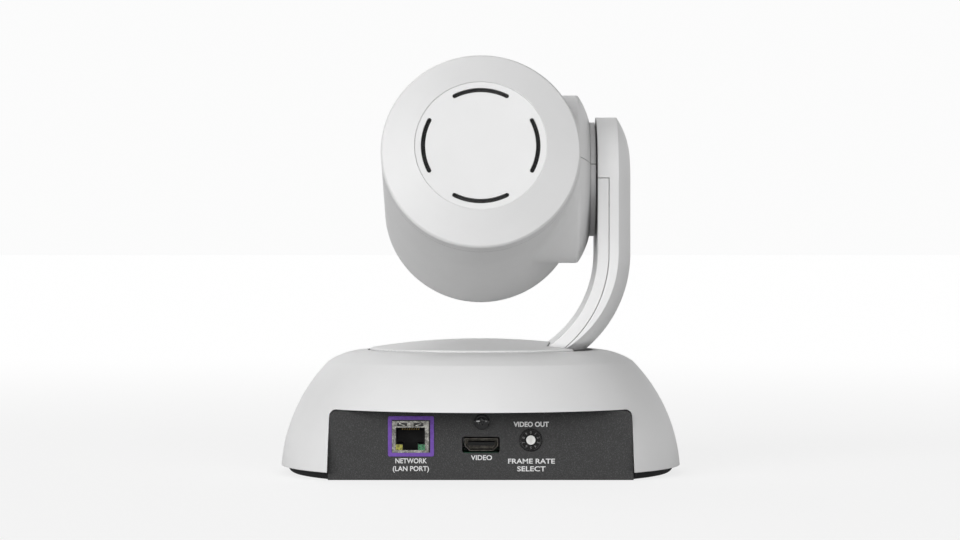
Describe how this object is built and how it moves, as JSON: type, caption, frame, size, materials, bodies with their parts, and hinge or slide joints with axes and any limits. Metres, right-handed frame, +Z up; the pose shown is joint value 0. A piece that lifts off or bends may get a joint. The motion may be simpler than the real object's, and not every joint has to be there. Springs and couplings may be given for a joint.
{
  "type": "ptz camera",
  "caption": "Single-arm pan-tilt-zoom video camera: domed base with a recessed connector panel, rotating turret, curved side arm and barrel-shaped tilting camera head.",
  "frame": {"origin": "on the pan axis at the underside, at the mouth of the tripod thread", "axes": "+Z up along the pan axis, lens toward -Y, connector panel toward +Y, arm on the -X side"},
  "size_m": [0.1806, 0.1732, 0.1868],
  "materials": {
    "white_shell": "fine satin moulded ABS",
    "hub_grey": "satin moulded plastic",
    "tray_black": "fine-grained moulded plastic",
    "panel_coat": "black powder coat with a fine speckle",
    "port_purple": "satin printed bezel",
    "connector_steel": "tin-plated stamped shield",
    "socket_steel": "dark nickel-plated shell",
    "socket_black": "moulded connector plastic",
    "contact_gold": "gold flashed",
    "lamp_green": "tinted light pipe",
    "lamp_yellow": "tinted light pipe",
    "dial_white": "moulded rotor",
    "screw_black": "black oxide",
    "screw_zinc": "zinc plated",
    "rubber": "matt rubber",
    "smoked_plastic": "smoked window plastic",
    "lens_black": "matt anti-reflection black",
    "vent_cloth": "black dust cloth",
    "optical_glass": "coated optical glass",
    "board_green": "solder mask over glass-fibre laminate",
    "cast_aluminium": "bead-blasted casting",
    "heatsink_aluminium": "black anodised fins",
    "steel": "ground steel",
    "motor_case": "dark plated motor can",
    "brass": "turned brass",
    "gear_nylon": "natural acetal"
  },
  "bodies": {
    "base": {"base_shell": "white_shell", "status_window": "smoked_plastic", "base_plate": "tray_black", "rubber_feet": "rubber", "base_screws": "screw_black", "tripod_insert": "brass", "connector_panel": "panel_coat", "port_frame": "port_purple", "panel_screws": "screw_black", "network_jack_shield": "connector_steel", "network_jack_insert": "socket_black", "network_jack_contacts": "contact_gold", "link_lamp": "lamp_green", "activity_lamp": "lamp_yellow", "video_socket_shell": "socket_steel", "video_socket_tongue": "socket_black", "mode_switch_body": "socket_black", "main_board": "board_green", "processor_heatsink": "heatsink_aluminium", "board_standoffs": "brass", "chassis_screws": "screw_zinc", "bearing_housing": "cast_aluminium", "pan_bush": "brass", "pan_motor": "motor_case", "motor_bracket": "steel"},
    "mode_selector": {"mode_dial": "dial_white"},
    "pan_drive": {"pan_pinion": "steel"},
    "turret": {"pan_shaft": "steel", "pan_gear": "gear_nylon", "turret_cover": "white_shell", "turret_plate": "cast_aluminium", "turret_screws": "screw_zinc", "arm_outer_shell": "white_shell", "arm_inner_cover": "white_shell", "arm_frame": "cast_aluminium", "tilt_shaft": "steel", "tilt_hub": "hub_grey", "tilt_gear": "gear_nylon"},
    "head": {"head_upper_shell": "white_shell", "head_lower_shell": "white_shell", "head_screws": "screw_black", "rear_cap": "white_shell", "vent_baffle": "vent_cloth", "front_bezel": "white_shell", "front_window": "optical_glass", "lens_mask": "lens_black", "lens_barrel": "lens_black", "front_lens": "optical_glass", "guide_rods": "steel", "sensor_board": "board_green", "board_spacers": "brass", "video_board": "board_green", "head_chassis": "cast_aluminium", "tilt_bush": "brass", "tilt_motor": "motor_case"},
    "tilt_drive": {"tilt_pinion": "steel"},
    "zoom_group": {"zoom_cell": "lens_black", "zoom_lens": "optical_glass"},
    "focus_group": {"focus_cell": "lens_black", "focus_lens": "optical_glass"}
  },
  "joints": [
    {"name": "pan", "type": "hinge", "parent": "base", "child": "turret", "pos_m": [0, 0, 0.05], "axis": [0, 0, 1], "range_deg": [-155, 155]},
    {"name": "pan_pinion_spin", "type": "hinge", "parent": "base", "child": "pan_drive", "pos_m": [0, -0.0425, 0.025], "axis": [0, 0, 1], "range_deg": [-724, 724]},
    {"name": "tilt", "type": "hinge", "parent": "turret", "child": "head", "pos_m": [0, 0, 0.1327], "axis": [-1, 0, 0], "range_deg": [-16, 104]},
    {"name": "tilt_pinion_spin", "type": "hinge", "parent": "head", "child": "tilt_drive", "pos_m": [-0.043, 0.01886, 0.12137], "axis": [-1, 0, 0], "range_deg": [-43, 278]},
    {"name": "zoom", "type": "slide", "parent": "head", "child": "zoom_group", "axis": [0, 0.9703, 0.2419], "range_m": [0, 0.018]},
    {"name": "focus", "type": "slide", "parent": "head", "child": "focus_group", "axis": [0, 0.9703, 0.2419], "range_m": [-0.003, 0.003]},
    {"name": "mode_select", "type": "hinge", "parent": "base", "child": "mode_selector", "pos_m": [-0.0219, 0.0555, 0.0176], "axis": [0, 1, 0], "continuous": true}
  ],
  "couplings": [
    {"joint": "pan_pinion_spin", "follows": "pan", "ratio": -4.6667},
    {"joint": "tilt_pinion_spin", "follows": "tilt", "ratio": 2.6667}
  ]
}
